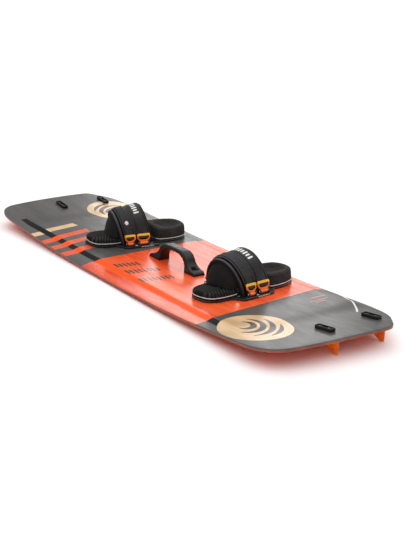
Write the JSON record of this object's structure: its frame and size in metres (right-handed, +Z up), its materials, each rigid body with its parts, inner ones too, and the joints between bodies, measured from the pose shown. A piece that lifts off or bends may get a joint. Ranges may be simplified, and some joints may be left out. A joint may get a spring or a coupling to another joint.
{
  "type": "twin-tip ride board",
  "caption": "Rockered twin-tip ride board with raised deck, padded strap bindings with pivoting belt buckles, an arched grab handle and tip fins.",
  "frame": {"origin": "middle of the footprint, on the surface that the four fin tips stand on", "axes": "+X along the board to the rider's left tip, +Y to the heel side, +Z up off the deck"},
  "size_m": [1.358, 0.466, 0.1337],
  "materials": {
    "deck": "printed glossy laminate, orange over charcoal",
    "core": "raw wood",
    "rail": "satin",
    "base": "glossy laminate",
    "fin": "tinted, translucent look",
    "nylon": "satin moulded",
    "steel": "brushed",
    "buckle": "glossy moulded",
    "plate": "satin moulded",
    "foot_bed": "foam",
    "pad": "grooved foam",
    "lining": "padded knit",
    "shell": "coated synthetic",
    "webbing": "woven"
  },
  "bodies": {
    "board": {"wood_core": "core", "deck_laminate": "deck", "side_rail": "rail", "base_laminate": "base", "grab_handle": "nylon", "fin_left_toe": "fin", "fin_plate_left_toe": "nylon", "fin_screw_left_toe_inner": "steel", "fin_screw_left_toe_outer": "steel", "fin_left_heel": "fin", "fin_plate_left_heel": "nylon", "fin_screw_left_heel_inner": "steel", "fin_screw_left_heel_outer": "steel", "handle_screw_left": "steel", "left_mount_screw_toe": "steel", "left_mount_screw_heel": "steel", "fin_right_toe": "fin", "fin_plate_right_toe": "nylon", "fin_screw_right_toe_inner": "steel", "fin_screw_right_toe_outer": "steel", "fin_right_heel": "fin", "fin_plate_right_heel": "nylon", "fin_screw_right_heel_inner": "steel", "fin_screw_right_heel_outer": "steel", "handle_screw_right": "steel", "right_mount_screw_toe": "steel", "right_mount_screw_heel": "steel"},
    "left_binding": {"left_base_plate": "plate", "left_foot_bed": "foot_bed", "left_toe_pad": "pad", "left_heel_pad": "pad", "left_strap_liner": "lining", "left_strap_shell": "shell", "left_front_belt": "webbing", "left_front_outer_pin": "steel", "left_front_inner_pin": "steel", "left_rear_belt": "webbing", "left_rear_outer_pin": "steel", "left_rear_inner_pin": "steel"},
    "right_binding": {"right_base_plate": "plate", "right_foot_bed": "foot_bed", "right_toe_pad": "pad", "right_heel_pad": "pad", "right_strap_liner": "lining", "right_strap_shell": "shell", "right_front_belt": "webbing", "right_front_outer_pin": "steel", "right_front_inner_pin": "steel", "right_rear_belt": "webbing", "right_rear_outer_pin": "steel", "right_rear_inner_pin": "steel"},
    "left_front_outer_buckle": {"left_front_outer_buckle": "buckle"},
    "left_front_inner_buckle": {"left_front_inner_buckle": "buckle"},
    "left_rear_outer_buckle": {"left_rear_outer_buckle": "buckle"},
    "left_rear_inner_buckle": {"left_rear_inner_buckle": "buckle"},
    "right_front_outer_buckle": {"right_front_outer_buckle": "buckle"},
    "right_front_inner_buckle": {"right_front_inner_buckle": "buckle"},
    "right_rear_outer_buckle": {"right_rear_outer_buckle": "buckle"},
    "right_rear_inner_buckle": {"right_rear_inner_buckle": "buckle"}
  },
  "joints": [
    {"name": "left_stance_turn", "type": "hinge", "parent": "board", "child": "left_binding", "pos_m": [0.25, 0.022, 0.02176], "axis": [-0.0438, 0, 0.999], "range_deg": [-8, 8]},
    {"name": "left_front_outer_buckle_swing", "type": "hinge", "parent": "left_binding", "child": "left_front_outer_buckle", "pos_m": [0.32071, -0.00103, 0.03637], "axis": [-0.0871, 0.9962, -0.0038], "range_deg": [-4, 20]},
    {"name": "left_front_inner_buckle_swing", "type": "hinge", "parent": "left_binding", "child": "left_front_inner_buckle", "pos_m": [0.1849, -0.03069, 0.03042], "axis": [0.0871, -0.9962, 0.0038], "range_deg": [-4, 20]},
    {"name": "left_rear_outer_buckle_swing", "type": "hinge", "parent": "left_binding", "child": "left_rear_outer_buckle", "pos_m": [0.31688, 0.04281, 0.0362], "axis": [-0.0871, 0.9962, -0.0038], "range_deg": [-4, 20]},
    {"name": "left_rear_inner_buckle_swing", "type": "hinge", "parent": "left_binding", "child": "left_rear_inner_buckle", "pos_m": [0.18107, 0.01315, 0.03025], "axis": [0.0871, -0.9962, 0.0038], "range_deg": [-4, 20]},
    {"name": "right_stance_turn", "type": "hinge", "parent": "board", "child": "right_binding", "pos_m": [-0.25, 0.022, 0.02176], "axis": [0.0438, 0, 0.999], "range_deg": [-8, 8]},
    {"name": "right_front_outer_buckle_swing", "type": "hinge", "parent": "right_binding", "child": "right_front_outer_buckle", "pos_m": [-0.32071, -0.00103, 0.03637], "axis": [-0.0871, -0.9962, 0.0038], "range_deg": [-4, 20]},
    {"name": "right_front_inner_buckle_swing", "type": "hinge", "parent": "right_binding", "child": "right_front_inner_buckle", "pos_m": [-0.1849, -0.03069, 0.03042], "axis": [0.0871, 0.9962, -0.0038], "range_deg": [-4, 20]},
    {"name": "right_rear_outer_buckle_swing", "type": "hinge", "parent": "right_binding", "child": "right_rear_outer_buckle", "pos_m": [-0.31688, 0.04281, 0.0362], "axis": [-0.0871, -0.9962, 0.0038], "range_deg": [-4, 20]},
    {"name": "right_rear_inner_buckle_swing", "type": "hinge", "parent": "right_binding", "child": "right_rear_inner_buckle", "pos_m": [-0.18107, 0.01315, 0.03025], "axis": [0.0871, 0.9962, -0.0038], "range_deg": [-4, 20]}
  ]
}
